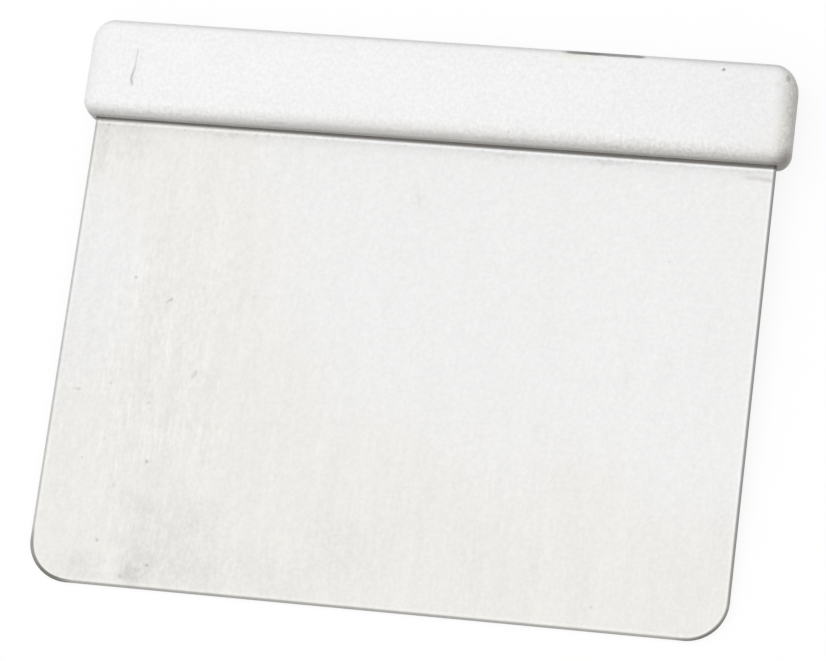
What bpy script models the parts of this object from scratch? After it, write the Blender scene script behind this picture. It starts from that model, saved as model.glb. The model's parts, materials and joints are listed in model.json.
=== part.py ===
"""Dough scraper lying face up on the bench: a stainless blade with a plastic handle moulded over its tang.

The scraper's own directions, before it is laid down: +X along the handle, +Y from the scraping edge
to the handle's top, +Z out of the front face, with the sheet's middle plane at Z = 0.
"""

import math

import bmesh
import bpy
from mathutils import Vector

# Blade sheet
BLADE_WIDTH = 0.1444
BLADE_REACH = 0.1003
BLADE_THICKNESS = 0.001
SCRAPING_CORNER_RADIUS = 0.0085
EDGE_BREAK = 0.00015

# Tang, the end of the sheet inside the handle, and the holes that lock it there
TANG_CORNER_RADIUS = 0.003
LOCK_HOLE_COUNT = 5
LOCK_HOLE_MARGIN = 0.0165
LOCK_HOLE_RADIUS = 0.004

# Handle bar, with its overhang past each side of the blade and its wall above the tang
HANDLE_OVERHANG = 0.0028
HANDLE_HEIGHT = 0.021
HANDLE_THICKNESS = 0.0115
HANDLE_TOP_WALL = 0.0052
HANDLE_DRAFT = math.radians(1.0)
LONG_EDGE_RADIUS = 0.003
END_EDGE_RADIUS = 0.0042
TOP_CORNER_RADIUS = 0.005
MOUTH_CORNER_RADIUS = 0.003

# Clearance between the moulded plastic and the sheet
FIT = 0.0003

# What follows from them
HANDLE_LENGTH = BLADE_WIDTH + 2 * HANDLE_OVERHANG
TANG_DEPTH = HANDLE_HEIGHT - HANDLE_TOP_WALL - FIT
SHEET_HEIGHT = BLADE_REACH + TANG_DEPTH

# How finely round forms are divided
CORNER_STEPS = 12
HOLE_SIDES = 32
EDGE_STEPS = 2
FILLET_STEPS = 8

# Tolerances of the construction
WELD_DISTANCE = 1e-6
SHARP_ANGLE = math.radians(35)

STEEL_COLOUR = (0.80, 0.80, 0.785, 1.0)
STEEL_ROUGHNESS = 0.36
PLASTIC_COLOUR = (0.87, 0.87, 0.865, 1.0)
PLASTIC_ROUGHNESS = 0.48


def clear_scene():
    for old in list(bpy.data.objects):
        bpy.data.objects.remove(old, do_unlink=True)


def new_collection(name):
    made = bpy.data.collections.new(name)
    bpy.context.scene.collection.children.link(made)
    return made


def new_material(name, colour, roughness, metallic):
    made = bpy.data.materials.new(name)
    made.use_nodes = True
    shader = made.node_tree.nodes["Principled BSDF"]
    shader.inputs["Base Color"].default_value = colour
    shader.inputs["Roughness"].default_value = roughness
    shader.inputs["Metallic"].default_value = metallic
    made.diffuse_color = colour
    return made


def new_part(name, mesh, collection):
    part = bpy.data.objects.new(name, mesh)
    collection.objects.link(part)
    return part


def mark_as_cutter(cutter):
    cutter.hide_render = True
    cutter.display_type = "WIRE"


# Flat sheets


def corner_arc(centre, radius, start):
    """Points of a quarter circle, anticlockwise from the start angle."""
    steps = range(CORNER_STEPS + 1)
    angles = [start + math.pi / 2 * step / CORNER_STEPS for step in steps]
    return [(centre[0] + radius * math.cos(a), centre[1] + radius * math.sin(a)) for a in angles]


def sheet_outline(width, low, high, low_radius, high_radius):
    """A rectangle from low to high with one radius on its low corners and one on its high corners."""
    low_x = width / 2 - low_radius
    high_x = width / 2 - high_radius
    return (
        corner_arc((high_x, high - high_radius), high_radius, 0)
        + corner_arc((-high_x, high - high_radius), high_radius, math.pi / 2)
        + corner_arc((-low_x, low + low_radius), low_radius, math.pi)
        + corner_arc((low_x, low + low_radius), low_radius, math.pi * 3 / 2)
    )


def new_sheet(name, outline, thickness, collection):
    """A flat plate of that outline, centred on Z = 0, as a closed mesh."""
    drawing = bpy.data.curves.new(name + "_outline", "CURVE")
    drawing.dimensions = "2D"
    drawing.fill_mode = "BOTH"
    drawing.extrude = thickness / 2
    spline = drawing.splines.new("POLY")
    spline.points.add(len(outline) - 1)
    for point, (x, y) in zip(spline.points, outline):
        point.co = (x, y, 0, 1)
    spline.use_cyclic_u = True
    drawn = new_part(name + "_drawn", drawing, collection)
    bpy.context.view_layer.update()
    evaluated = drawn.evaluated_get(bpy.context.evaluated_depsgraph_get())
    mesh = bpy.data.meshes.new_from_object(evaluated)
    mesh.name = name
    weld_shut(mesh)
    sheet = new_part(name, mesh, collection)
    sheet.matrix_world = drawn.matrix_world
    bpy.data.objects.remove(drawn, do_unlink=True)
    return sheet


def weld_shut(mesh):
    """Joins a drawing's caps to its sides and turns every face outwards."""
    work = bmesh.new()
    work.from_mesh(mesh)
    bmesh.ops.remove_doubles(work, verts=work.verts, dist=WELD_DISTANCE)
    bmesh.ops.dissolve_limit(
        work, angle_limit=math.radians(1), verts=work.verts, edges=work.edges, delimit={"NORMAL"}
    )
    bmesh.ops.recalc_face_normals(work, faces=work.faces)
    work.to_mesh(mesh)
    work.free()


def pin_row(name, radius, collection):
    """One upright pin for each locking hole, in a row midway up the tang, passing right through it."""
    mesh = bpy.data.meshes.new(name)
    work = bmesh.new()
    first = -BLADE_WIDTH / 2 + LOCK_HOLE_MARGIN
    pitch = -2 * first / (LOCK_HOLE_COUNT - 1)
    for index in range(LOCK_HOLE_COUNT):
        made = bmesh.ops.create_cone(
            work,
            cap_ends=True,
            segments=HOLE_SIDES,
            radius1=radius,
            radius2=radius,
            depth=HANDLE_THICKNESS,
        )
        centre = Vector((first + index * pitch, BLADE_REACH + TANG_DEPTH / 2, 0))
        bmesh.ops.translate(work, verts=made["verts"], vec=centre)
    work.to_mesh(mesh)
    work.free()
    row = new_part(name, mesh, collection)
    mark_as_cutter(row)
    return row


def cut(part, cutter):
    modifier = part.modifiers.new(cutter.name, "BOOLEAN")
    modifier.operation = "DIFFERENCE"
    modifier.solver = "EXACT"
    modifier.object = cutter


# Blade


def build_blade(collection, cutters, steel):
    """The stamped sheet: its corners, its softened edges and the holes through its tang."""
    outline = sheet_outline(
        BLADE_WIDTH, 0, SHEET_HEIGHT, SCRAPING_CORNER_RADIUS, TANG_CORNER_RADIUS
    )
    blade = new_sheet("blade", outline, BLADE_THICKNESS, collection)
    blade.data.materials.append(steel)
    softened = blade.modifiers.new("edge_break", "BEVEL")
    softened.width = EDGE_BREAK
    softened.segments = EDGE_STEPS
    softened.limit_method = "ANGLE"
    softened.angle_limit = math.radians(60)
    cut(blade, pin_row("lock_holes", LOCK_HOLE_RADIUS, cutters))
    return blade


# Handle


def handle_block():
    """The bar before its edges are rounded: widest at the mould's parting plane, drafted to both faces."""
    work = bmesh.new()
    bmesh.ops.create_cube(work, size=1)
    bmesh.ops.scale(
        work, vec=(HANDLE_LENGTH, HANDLE_HEIGHT, HANDLE_THICKNESS), verts=work.verts
    )
    bmesh.ops.bisect_plane(
        work, geom=work.verts[:] + work.edges[:] + work.faces[:], plane_co=(0, 0, 0), plane_no=(0, 0, 1)
    )
    for vert in work.verts:
        taper = math.tan(HANDLE_DRAFT) * abs(vert.co.z)
        vert.co.x -= math.copysign(taper, vert.co.x)
        vert.co.y -= math.copysign(taper, vert.co.y)
    set_fillet_sizes(work)
    bmesh.ops.translate(work, verts=work.verts, vec=(0, BLADE_REACH + HANDLE_HEIGHT / 2, 0))
    mesh = bpy.data.meshes.new("handle")
    work.to_mesh(mesh)
    work.free()
    return mesh


def largest_fillet():
    return max(LONG_EDGE_RADIUS, END_EDGE_RADIUS, TOP_CORNER_RADIUS, MOUTH_CORNER_RADIUS)


def fillet_radius(edge):
    """The radius of a corner of the bar, or 0 on the parting line, which stays a line."""
    if edge.calc_face_angle() < math.radians(45):
        return 0
    along = edge.verts[1].co - edge.verts[0].co
    if abs(along.x) > max(abs(along.y), abs(along.z)):
        return LONG_EDGE_RADIUS
    if abs(along.y) > abs(along.z):
        return END_EDGE_RADIUS
    if edge.verts[0].co.y > 0:
        return TOP_CORNER_RADIUS
    return MOUTH_CORNER_RADIUS


def set_fillet_sizes(work):
    """Writes each edge's radius as its share of the largest, which the Bevel then multiplies out."""
    weights = work.edges.layers.float.new("bevel_weight_edge")
    for edge in work.edges:
        edge[weights] = fillet_radius(edge) / largest_fillet()


def build_handle(collection, cutters, plastic):
    """The moulded bar. The slot in it is the sheet grown by its clearance, and the plastic that the
    locking holes leave standing in the slot makes the plugs."""
    handle = new_part("handle", handle_block(), collection)
    handle.data.materials.append(plastic)
    rounded = handle.modifiers.new("fillets", "BEVEL")
    rounded.width = largest_fillet()
    rounded.segments = FILLET_STEPS
    rounded.limit_method = "WEIGHT"
    outline = sheet_outline(
        BLADE_WIDTH + 2 * FIT,
        -FIT,
        SHEET_HEIGHT + FIT,
        SCRAPING_CORNER_RADIUS + FIT,
        TANG_CORNER_RADIUS + FIT,
    )
    slot = new_sheet("tang_slot", outline, BLADE_THICKNESS + 2 * FIT, cutters)
    mark_as_cutter(slot)
    cut(slot, pin_row("lock_plugs", LOCK_HOLE_RADIUS - FIT, cutters))
    cut(handle, slot)
    return handle


# Finishing and laying down


def apply_modifiers(part):
    """Keeps the modelled shape as the part's own mesh, smooth on its rounds and sharp at its edges."""
    bpy.context.view_layer.update()
    evaluated = part.evaluated_get(bpy.context.evaluated_depsgraph_get())
    shaped = bpy.data.meshes.new_from_object(evaluated)
    part.modifiers.clear()
    part.data = shaped
    shaped.name = part.name
    shaped.shade_smooth()
    shaped.set_sharp_from_angle(angle=SHARP_ANGLE)


def lay_on_bench(blade, handle, cutters):
    """Tilts the scraper until the blade's rear edge and the handle's back both touch the bench."""
    edge_y, edge_z = EDGE_BREAK, -BLADE_THICKNESS / 2
    lay = -min(math.atan2(v.co.z - edge_z, v.co.y - edge_y) for v in handle.data.vertices)
    lie = bpy.data.objects.new("scraper_lie", None)
    blade.users_collection[0].objects.link(lie)
    lie.rotation_euler = (lay, 0, 0)
    for part in [blade, handle, *cutters.objects]:
        part.parent = lie
    bpy.context.view_layer.update()
    corners = [part.matrix_world @ v.co for part in (blade, handle) for v in part.data.vertices]
    reach = [corner.y for corner in corners]
    lowest = min(corner.z for corner in corners)
    lie.location = (0, -(min(reach) + max(reach)) / 2, -lowest)
    bpy.context.view_layer.update()
    return lie


def build():
    clear_scene()
    parts = new_collection("dough_scraper")
    cutters = new_collection("cutters")
    steel = new_material("satin_stainless", STEEL_COLOUR, STEEL_ROUGHNESS, 1.0)
    plastic = new_material("white_polypropylene", PLASTIC_COLOUR, PLASTIC_ROUGHNESS, 0.0)
    blade = build_blade(parts, cutters, steel)
    handle = build_handle(parts, cutters, plastic)
    apply_modifiers(blade)
    apply_modifiers(handle)
    lay_on_bench(blade, handle, cutters)


build()
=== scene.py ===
"""Looks of a dough scraper: a satin steel sheet with a white plastic handle moulded over its upper end.

Sizes are in millimetres and in the scraper's own directions: +X along the handle, +Y from the
scraping edge up to the handle, +Z out of the front face, with the sheet's middle plane at Z = 0.
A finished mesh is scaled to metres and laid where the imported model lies.
"""

import json
import math

import bmesh
import bpy
from mathutils import Euler, Matrix, Vector


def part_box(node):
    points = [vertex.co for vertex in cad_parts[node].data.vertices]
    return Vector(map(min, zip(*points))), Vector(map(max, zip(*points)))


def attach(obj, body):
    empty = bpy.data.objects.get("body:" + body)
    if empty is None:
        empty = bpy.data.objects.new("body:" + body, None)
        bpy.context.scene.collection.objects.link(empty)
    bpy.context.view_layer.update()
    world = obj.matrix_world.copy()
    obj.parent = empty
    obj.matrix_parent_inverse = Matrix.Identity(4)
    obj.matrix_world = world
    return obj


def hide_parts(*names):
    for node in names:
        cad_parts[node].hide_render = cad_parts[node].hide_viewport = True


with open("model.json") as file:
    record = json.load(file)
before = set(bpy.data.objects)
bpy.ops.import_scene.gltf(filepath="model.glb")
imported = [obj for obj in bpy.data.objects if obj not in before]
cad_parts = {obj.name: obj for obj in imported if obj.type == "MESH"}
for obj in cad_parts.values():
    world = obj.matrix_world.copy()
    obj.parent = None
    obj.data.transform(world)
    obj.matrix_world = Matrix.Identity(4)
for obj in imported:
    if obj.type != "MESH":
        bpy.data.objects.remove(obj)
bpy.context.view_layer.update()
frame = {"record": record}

MM = 0.001


def packed_width(node):
    """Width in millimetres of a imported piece, along the handle."""
    low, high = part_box(node)
    return (high.x - low.x) / MM


# Sizes of the steel sheet
BLADE_WIDTH = packed_width("blade")
BLADE_REACH = 100.3
BLADE_THICKNESS = 1.0
TANG_DEPTH = 15.5
SHEET_HEIGHT = BLADE_REACH + TANG_DEPTH
SCRAPING_RADIUS = 8.5
TANG_RADIUS = 3.0
SHEET_EDGE_RADIUS = 0.15
CUT_EDGE_SLOPE = 0.7
LOCK_HOLES = 5
LOCK_HOLE_MARGIN = 16.5
LOCK_HOLE_RADIUS = 4.0

# Sizes of the handle bar
HANDLE_LENGTH = packed_width("handle")
HANDLE_HEIGHT = 21.0
HANDLE_THICKNESS = 11.5
HANDLE_LOW = BLADE_REACH
HANDLE_HIGH = BLADE_REACH + HANDLE_HEIGHT
DRAFT = math.tan(math.radians(1.0))
LONG_EDGE_RADIUS = 3.0
END_EDGE_RADIUS = 4.2
TOP_RADIUS = 5.0
MOUTH_RADIUS = 3.0
PARTING_BEAD = 0.06
PARTING_BEAD_WIDTH = 0.25
WALL_SHARES = (0.33, 0.67)
SEAM_GAP = 0.12

# Shallow panel in the handle's front face
PANEL_LEFT, PANEL_RIGHT = -63.4, 37.0
PANEL_LOW, PANEL_HIGH = 105.2, 116.2
PANEL_DEPTH = 0.04
PANEL_SLOPE = 0.35

# Crease that the mould left at the panel's left end, with one bend. It starts over its foot, grows
# shallower over its fade, and ends over its tip. Its lip stands up beside it.
CREASE_X = -63.95
CREASE_LOW, CREASE_HIGH = 106.0, 115.0
CREASE_BEND_V, CREASE_BEND_REACH, CREASE_BEND = 107.9, 1.7, -0.5
CREASE_DEPTH = 0.22
CREASE_WIDTH = 0.24
CREASE_FOOT, CREASE_TIP = 1.2, 0.8
CREASE_FADE, CREASE_FADED = 5.5, 0.85
LIP_OFFSET, LIP_SHARE = 0.32, 0.4

# How finely forms are divided: counts, and then distances between columns and rows of the face
CORNER_STEPS = 16
EDGE_STEPS = 4
ROUNDING_STEPS = 14
HOLE_SIDES = 48
BEAD_STEPS = 4
PANEL_EDGE_COLUMNS, PANEL_EDGE_ROWS = 4, 3
FACE_COLUMN, FACE_ROW = 1.6, 0.4
CREASE_COLUMN = 0.07
CREASE_COLUMNS_LEFT, CREASE_COLUMNS_RIGHT = 1.1, 1.0
WELD_DISTANCE = 1e-4
SHARP_ANGLE = math.radians(50)


def scraper_lie():
    """Where the scraper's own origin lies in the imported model, and how far it tilts, from its mounts."""
    mounts = {mount["name"]: mount for mount in frame["record"]["mounts"]}
    face = Vector(mounts["handle_front"]["axis"])
    return Vector(mounts["scraping_edge"]["pos_m"]), math.atan2(-face.y, face.z)


ORIGIN, TILT = scraper_lie()


# Mesh helpers


def between(start, end, share):
    return start + (end - start) * share


def bell(distance, width):
    return math.exp(-((distance / width) ** 2))


def ramp(value, low, high):
    """0 at low, 1 at high, with a soft start and end."""
    share = min(max((value - low) / (high - low), 0), 1)
    return share * share * (3 - 2 * share)


def arc(centre, radius, start):
    """Points of a quarter circle, anticlockwise from start, in degrees."""
    turns = [math.radians(start + 90 * step / CORNER_STEPS) for step in range(CORNER_STEPS + 1)]
    return [(centre[0] + radius * math.cos(turn), centre[1] + radius * math.sin(turn)) for turn in turns]


def bridge(work, upper, lower):
    """Faces between two closed rings. Where both rings share a corner, the face is a triangle."""
    for index, corner in enumerate(upper):
        following = (index + 1) % len(upper)
        corners = [corner, upper[following], lower[following], lower[index]]
        distinct = list(dict.fromkeys(corners))
        if len(distinct) > 2:
            work.faces.new(distinct)


def fill_flat(work, rings):
    """Fills a flat face inside the first ring and round the others."""
    edges = [work.edges.get((ring[index - 1], ring[index])) for ring in rings for index in range(len(ring))]
    bmesh.ops.triangle_fill(work, use_beauty=True, edges=edges)


def finished_mesh(name, work):
    bmesh.ops.remove_doubles(work, verts=work.verts, dist=WELD_DISTANCE)
    bmesh.ops.recalc_face_normals(work, faces=work.faces)
    mesh = bpy.data.meshes.new(name)
    work.to_mesh(mesh)
    work.free()
    return mesh


def new_object(name, mesh):
    made = bpy.data.objects.new(name, mesh)
    bpy.context.scene.collection.objects.link(made)
    return made


def cut_out(mesh, cutter_mesh):
    """The mesh with the cutter's shape taken out of it."""
    whole, cutter = new_object("whole", mesh), new_object("cutter", cutter_mesh)
    cut = whole.modifiers.new("cut", "BOOLEAN")
    cut.operation = "DIFFERENCE"
    cut.solver = "EXACT"
    cut.object = cutter
    bpy.context.view_layer.update()
    result = bpy.data.meshes.new_from_object(whole.evaluated_get(bpy.context.evaluated_depsgraph_get()))
    for spare in (whole, cutter):
        bpy.data.objects.remove(spare, do_unlink=True)
    return result


def lay_piece(name, mesh, node):
    """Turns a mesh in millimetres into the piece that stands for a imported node."""
    mesh.transform(Matrix.Translation(ORIGIN) @ Matrix.Rotation(TILT, 4, "X") @ Matrix.Scale(MM, 4))
    mesh.name = name
    mesh.shade_smooth()
    mesh.set_sharp_from_angle(angle=SHARP_ANGLE)
    piece = new_object(name, mesh)
    shading = piece.modifiers.new("even_shading", "WEIGHTED_NORMAL")
    shading.keep_sharp = True
    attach(piece, "root")
    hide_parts(node)
    return piece


# Steel sheet


def sheet_outline(growth):
    """The sheet's outline, anticlockwise from its top right corner, moved outwards by growth."""
    side = BLADE_WIDTH / 2
    corners = (
        (side - TANG_RADIUS, SHEET_HEIGHT - TANG_RADIUS, TANG_RADIUS, 0),
        (TANG_RADIUS - side, SHEET_HEIGHT - TANG_RADIUS, TANG_RADIUS, 90),
        (SCRAPING_RADIUS - side, SCRAPING_RADIUS, SCRAPING_RADIUS, 180),
        (side - SCRAPING_RADIUS, SCRAPING_RADIUS, SCRAPING_RADIUS, 270),
    )
    return [point for x, y, radius, start in corners for point in arc((x, y), radius + growth, start)]


def edge_profile(half, radius):
    """The sheet's edge from its front to its back: steps inwards from the outline, and heights."""
    if not radius:
        return [(0, half), (0, -half)]
    turns = [math.pi / 2 * step / EDGE_STEPS for step in range(EDGE_STEPS + 1)]
    front = [(radius * (1 - math.sin(turn)), half - radius * (1 - math.cos(turn))) for turn in turns]
    return front + [(inset, -height) for inset, height in reversed(front)]


def lock_hole_centres():
    first = -BLADE_WIDTH / 2 + LOCK_HOLE_MARGIN
    pitch = -2 * first / (LOCK_HOLES - 1)
    return [(first + index * pitch, BLADE_REACH + TANG_DEPTH / 2) for index in range(LOCK_HOLES)]


def sheet_mesh(name, growth, edge_radius, hole_radius):
    """The sheet with its locking holes, as a closed mesh that can be grown to make its own slot."""
    work = bmesh.new()
    half = BLADE_THICKNESS / 2 + growth
    rings = [
        [work.verts.new((x, y, height)) for x, y in sheet_outline(growth - inset)]
        for inset, height in edge_profile(half, edge_radius)
    ]
    for upper, lower in zip(rings, rings[1:]):
        bridge(work, upper, lower)
    front, back = [rings[0]], [rings[-1]]
    for x, y in lock_hole_centres():
        turns = [math.tau * step / HOLE_SIDES for step in range(HOLE_SIDES)]
        spots = [(x + hole_radius * math.cos(turn), y + hole_radius * math.sin(turn)) for turn in turns]
        front.append([work.verts.new((*spot, half)) for spot in spots])
        back.append([work.verts.new((*spot, -half)) for spot in spots])
        bridge(work, front[-1], back[-1])
    fill_flat(work, front)
    fill_flat(work, back)
    return finished_mesh(name, work)


def map_grain(mesh):
    """A flat map over the sheet, so that the polish's grain has a direction."""
    grain = mesh.uv_layers.new(name="grain")
    for corner in mesh.loops:
        x, y, _ = mesh.vertices[corner.vertex_index].co
        grain.data[corner.index].uv = (x / BLADE_WIDTH + 0.5, y / SHEET_HEIGHT)


def build_blade(polished, cut_edge):
    mesh = sheet_mesh("scraper_blade", 0, SHEET_EDGE_RADIUS, LOCK_HOLE_RADIUS)
    map_grain(mesh)
    mesh.materials.append(polished)
    mesh.materials.append(cut_edge)
    for face in mesh.polygons:
        face.material_index = 1 if abs(face.normal.z) < CUT_EDGE_SLOPE else 0
    return lay_piece("scraper_blade", mesh, "blade")


# Handle


def cuts(low, high, step, fine):
    """Places from low to high about a step apart, and closer in each fine stretch: (from, to, step)."""
    whole = round((high - low) / step)
    places = [between(low, high, index / whole) for index in range(whole + 1)]
    for start, end, close in fine:
        count = round((end - start) / close)
        places = [place for place in places if not start - close < place < end + close]
        places += [between(start, end, index / count) for index in range(count + 1)]
    return sorted(places)


def face_columns():
    side = HANDLE_LENGTH / 2 - END_EDGE_RADIUS
    crease = (CREASE_X - CREASE_COLUMNS_LEFT, CREASE_X + CREASE_COLUMNS_RIGHT, CREASE_COLUMN)
    step = (PANEL_RIGHT - PANEL_SLOPE, PANEL_RIGHT + PANEL_SLOPE, PANEL_SLOPE / PANEL_EDGE_COLUMNS)
    return cuts(-side, side, FACE_COLUMN, (crease, step))


def face_rows():
    low, high = HANDLE_LOW + LONG_EDGE_RADIUS, HANDLE_HIGH - LONG_EDGE_RADIUS
    close = PANEL_SLOPE / PANEL_EDGE_ROWS
    edges = [(v - PANEL_SLOPE, v + PANEL_SLOPE, close) for v in (PANEL_LOW, PANEL_HIGH)]
    return cuts(low, high, FACE_ROW, edges)


def crease_centre(v):
    """Where the crease runs: straight down, with one bend to the left low down."""
    return CREASE_X + CREASE_BEND * bell(v - CREASE_BEND_V, CREASE_BEND_REACH)


def crease_height(x, v):
    """The crease is a nick with a raised lip on its right, deepest at its bend and fading upwards."""
    length = ramp(v, CREASE_LOW, CREASE_LOW + CREASE_FOOT)
    length *= 1 - ramp(v, CREASE_HIGH - CREASE_FADE, CREASE_HIGH) * CREASE_FADED
    length *= 1 - ramp(v, CREASE_HIGH - CREASE_TIP, CREASE_HIGH)
    off = x - crease_centre(v)
    lip = LIP_SHARE * bell(off - LIP_OFFSET, CREASE_WIDTH)
    return CREASE_DEPTH * length * (lip - bell(off, CREASE_WIDTH))


def panel_height(x, v):
    across = ramp(x, PANEL_LEFT, PANEL_LEFT + PANEL_SLOPE) - ramp(x, PANEL_RIGHT - PANEL_SLOPE, PANEL_RIGHT)
    up = ramp(v, PANEL_LOW, PANEL_LOW + PANEL_SLOPE) - ramp(v, PANEL_HIGH - PANEL_SLOPE, PANEL_HIGH)
    return -PANEL_DEPTH * across * up


def face_height(x, v, side):
    flat = HANDLE_THICKNESS / 2
    return flat + panel_height(x, v) + crease_height(x, v) if side > 0 else flat


def drafted(x, v, w, side):
    """A point of the bar, narrowed towards its face so that it leaves the mould."""
    middle = (HANDLE_LOW + HANDLE_HIGH) / 2
    x -= x / (HANDLE_LENGTH / 2) * DRAFT * abs(w)
    v -= (v - middle) / (HANDLE_HEIGHT / 2) * DRAFT * abs(w)
    return (x, v, side * w)


def wall_corners():
    """The wall's corners, anticlockwise from the right end's foot: centre, radius, start angle."""
    side = HANDLE_LENGTH / 2
    return (
        ((side - MOUTH_RADIUS, HANDLE_LOW + MOUTH_RADIUS), MOUTH_RADIUS, 270),
        ((side - TOP_RADIUS, HANDLE_HIGH - TOP_RADIUS), TOP_RADIUS, 0),
        ((TOP_RADIUS - side, HANDLE_HIGH - TOP_RADIUS), TOP_RADIUS, 90),
        ((MOUTH_RADIUS - side, HANDLE_LOW + MOUTH_RADIUS), MOUTH_RADIUS, 180),
    )


def rim_stations(grid):
    """Once round the rim, anticlockwise from the mouth's left end. Each station has the face's own
    vertex there, the point of the wall outside it, and the depth of the rounding between them."""
    mouth = [column[0] for column in grid]
    right = grid[-1]
    top = [column[-1] for column in reversed(grid)]
    left = list(reversed(grid[0]))
    arcs = [arc(*corner) for corner in wall_corners()]
    depths = (LONG_EDGE_RADIUS, END_EDGE_RADIUS, LONG_EDGE_RADIUS, END_EDGE_RADIUS)
    stations = []
    for index, (side, depth) in enumerate(zip((mouth, right, top, left), depths)):
        start, end = Vector(arcs[index - 1][-1]), Vector(arcs[index][0])
        for vertex in side:
            share = (vertex.co - side[0].co).length / (side[-1].co - side[0].co).length
            stations.append((vertex, between(start, end, share), depth))
        following = depths[(index + 1) % 4]
        for step, point in enumerate(arcs[index][1:-1], 1):
            turned = math.sin(math.pi / 2 * step / CORNER_STEPS) ** 2
            stations.append((side[-1], Vector(point), between(depth, following, turned)))
    return stations


def wall_levels(depth):
    """Heights down the wall, from the rounding's foot to the parting line, and how far it stands out."""
    top = HANDLE_THICKNESS / 2 - depth
    bead = [PARTING_BEAD_WIDTH * step / BEAD_STEPS for step in range(BEAD_STEPS, -1, -1)]
    levels = [(between(top, bead[0], share), 0) for share in WALL_SHARES]
    return levels + [(w, PARTING_BEAD * (1 + math.cos(math.pi * w / bead[0])) / 2) for w in bead]


def bar_half(work, side):
    """The face on one side of the bar with its rounded rim and its wall, down to the parting line."""
    rows = face_rows()
    grid = [[work.verts.new((x, v, face_height(x, v, side))) for v in rows] for x in face_columns()]
    for column, following in zip(grid, grid[1:]):
        for low in range(len(rows) - 1):
            work.faces.new((column[low], following[low], following[low + 1], column[low + 1]))
    stations = rim_stations(grid)
    ring = [vertex for vertex, _, _ in stations]
    paths = []
    for vertex, wall, depth in stations:
        inner = Vector(vertex.co.xy)
        outward = (wall - inner).normalized()
        path = []
        for step in range(1, ROUNDING_STEPS + 1):
            turn = math.pi / 2 * step / ROUNDING_STEPS
            spot = between(inner, wall, math.sin(turn))
            path.append((*spot, HANDLE_THICKNESS / 2 - depth * (1 - math.cos(turn))))
        path += [(*(wall + outward * bulge), w) for w, bulge in wall_levels(depth)]
        paths.append(path)
    for level in zip(*paths):
        following = [work.verts.new(spot) for spot in level]
        bridge(work, ring, following)
        ring = following


def bar_mesh():
    work = bmesh.new()
    for side in (1, -1):
        before = set(work.verts)
        bar_half(work, side)
        for vertex in set(work.verts) - before:
            vertex.co = drafted(*vertex.co, side)
    return finished_mesh("bar", work)


def build_handle(plastic):
    """The bar, with a slot moulded tight to the sheet and plugs through the sheet's holes."""
    slot = sheet_mesh("slot", SEAM_GAP, 0, LOCK_HOLE_RADIUS - SEAM_GAP)
    mesh = cut_out(bar_mesh(), slot)
    mesh.materials.clear()
    mesh.materials.append(plastic)
    return lay_piece("scraper_handle", mesh, "handle")


# Node helpers


def add(tree, kind, sockets, **settings):
    """A node with its settings, and its sockets fed by numbers, colours or other nodes' outputs."""
    node = tree.nodes.new("ShaderNode" + kind)
    for name, value in settings.items():
        setattr(node, name, value)
    for key, value in sockets.items():
        if isinstance(value, bpy.types.NodeSocket):
            tree.links.new(value, node.inputs[key])
        else:
            node.inputs[key].default_value = value
    return node


def maths(tree, operation, *terms):
    return add(tree, "Math", dict(enumerate(terms)), operation=operation).outputs[0]


def product(tree, value, *others):
    for other in others:
        value = maths(tree, "MULTIPLY", value, other)
    return value


def total(tree, start, *weighted):
    """The start value plus each value times its weight."""
    for value, weight in weighted:
        start = maths(tree, "MULTIPLY_ADD", value, weight, start)
    return start


def vectors(tree, operation, *terms):
    node = add(tree, "VectorMath", dict(enumerate(terms)), operation=operation)
    return node.outputs["Value" if operation in ("LENGTH", "DOT_PRODUCT") else "Vector"]


def rise(tree, value, low, high, start=0.0, end=1.0):
    """A soft step from start to end, as the value goes from low to high."""
    sockets = {"Value": value, "From Min": low, "From Max": high, "To Min": start, "To Max": end}
    return add(tree, "MapRange", sockets, interpolation_type="SMOOTHSTEP").outputs["Result"]


def fall(tree, value, low, high):
    """A soft step from 1 down to 0, as the value goes from low to high."""
    return rise(tree, value, low, high, 1.0, 0.0)


def blend(tree, share, under, over):
    node = add(tree, "Mix", {0: share, 6: under, 7: over}, data_type="RGBA")
    return node.outputs[2]


def lay_over(tree, colour, mask, strength, tone):
    """Lays a tone over the colour where the mask is, at the given strength."""
    return blend(tree, product(tree, mask, strength), colour, tone)


def new_group(name, inputs, output):
    """An empty node group: its tree, its input sockets and the socket that its one value leaves by."""
    group = bpy.data.node_groups.new(name, "ShaderNodeTree")
    for label, default in inputs.items():
        kind = "NodeSocketFloat" if isinstance(default, float) else "NodeSocketVector"
        group.interface.new_socket(name=label, in_out="INPUT", socket_type=kind).default_value = default
    group.interface.new_socket(name=output, in_out="OUTPUT", socket_type="NodeSocketFloat")
    return group, group.nodes.new("NodeGroupInput").outputs, group.nodes.new("NodeGroupOutput").inputs[0]


def use(tree, group, **sockets):
    """Places a group in a material with its own values, and gives its output."""
    node = add(tree, "Group", {}, node_tree=group)
    for key, value in sockets.items():
        name = key.replace("_", " ").capitalize()
        if isinstance(value, bpy.types.NodeSocket):
            tree.links.new(value, node.inputs[name])
        else:
            node.inputs[name].default_value = value
    return node.outputs[0]


# Effects that the finishes share


def patches_group():
    """Soft cloudy patches of about the given size, in millimetres."""
    tree, given, out = new_group("patches", {"Place": (0, 0, 0), "Size": 10.0, "Softness": 0.1}, "Patches")
    scale = maths(tree, "DIVIDE", 1.0, given["Size"])
    sockets = {"Vector": given["Place"], "Scale": scale, "Detail": 4.0, "Roughness": 0.55}
    noise = add(tree, "TexNoise", sockets).outputs[0]
    low = maths(tree, "SUBTRACT", 0.5, given["Softness"])
    high = maths(tree, "ADD", 0.5, given["Softness"])
    tree.links.new(rise(tree, noise, low, high), out)
    return tree


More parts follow.
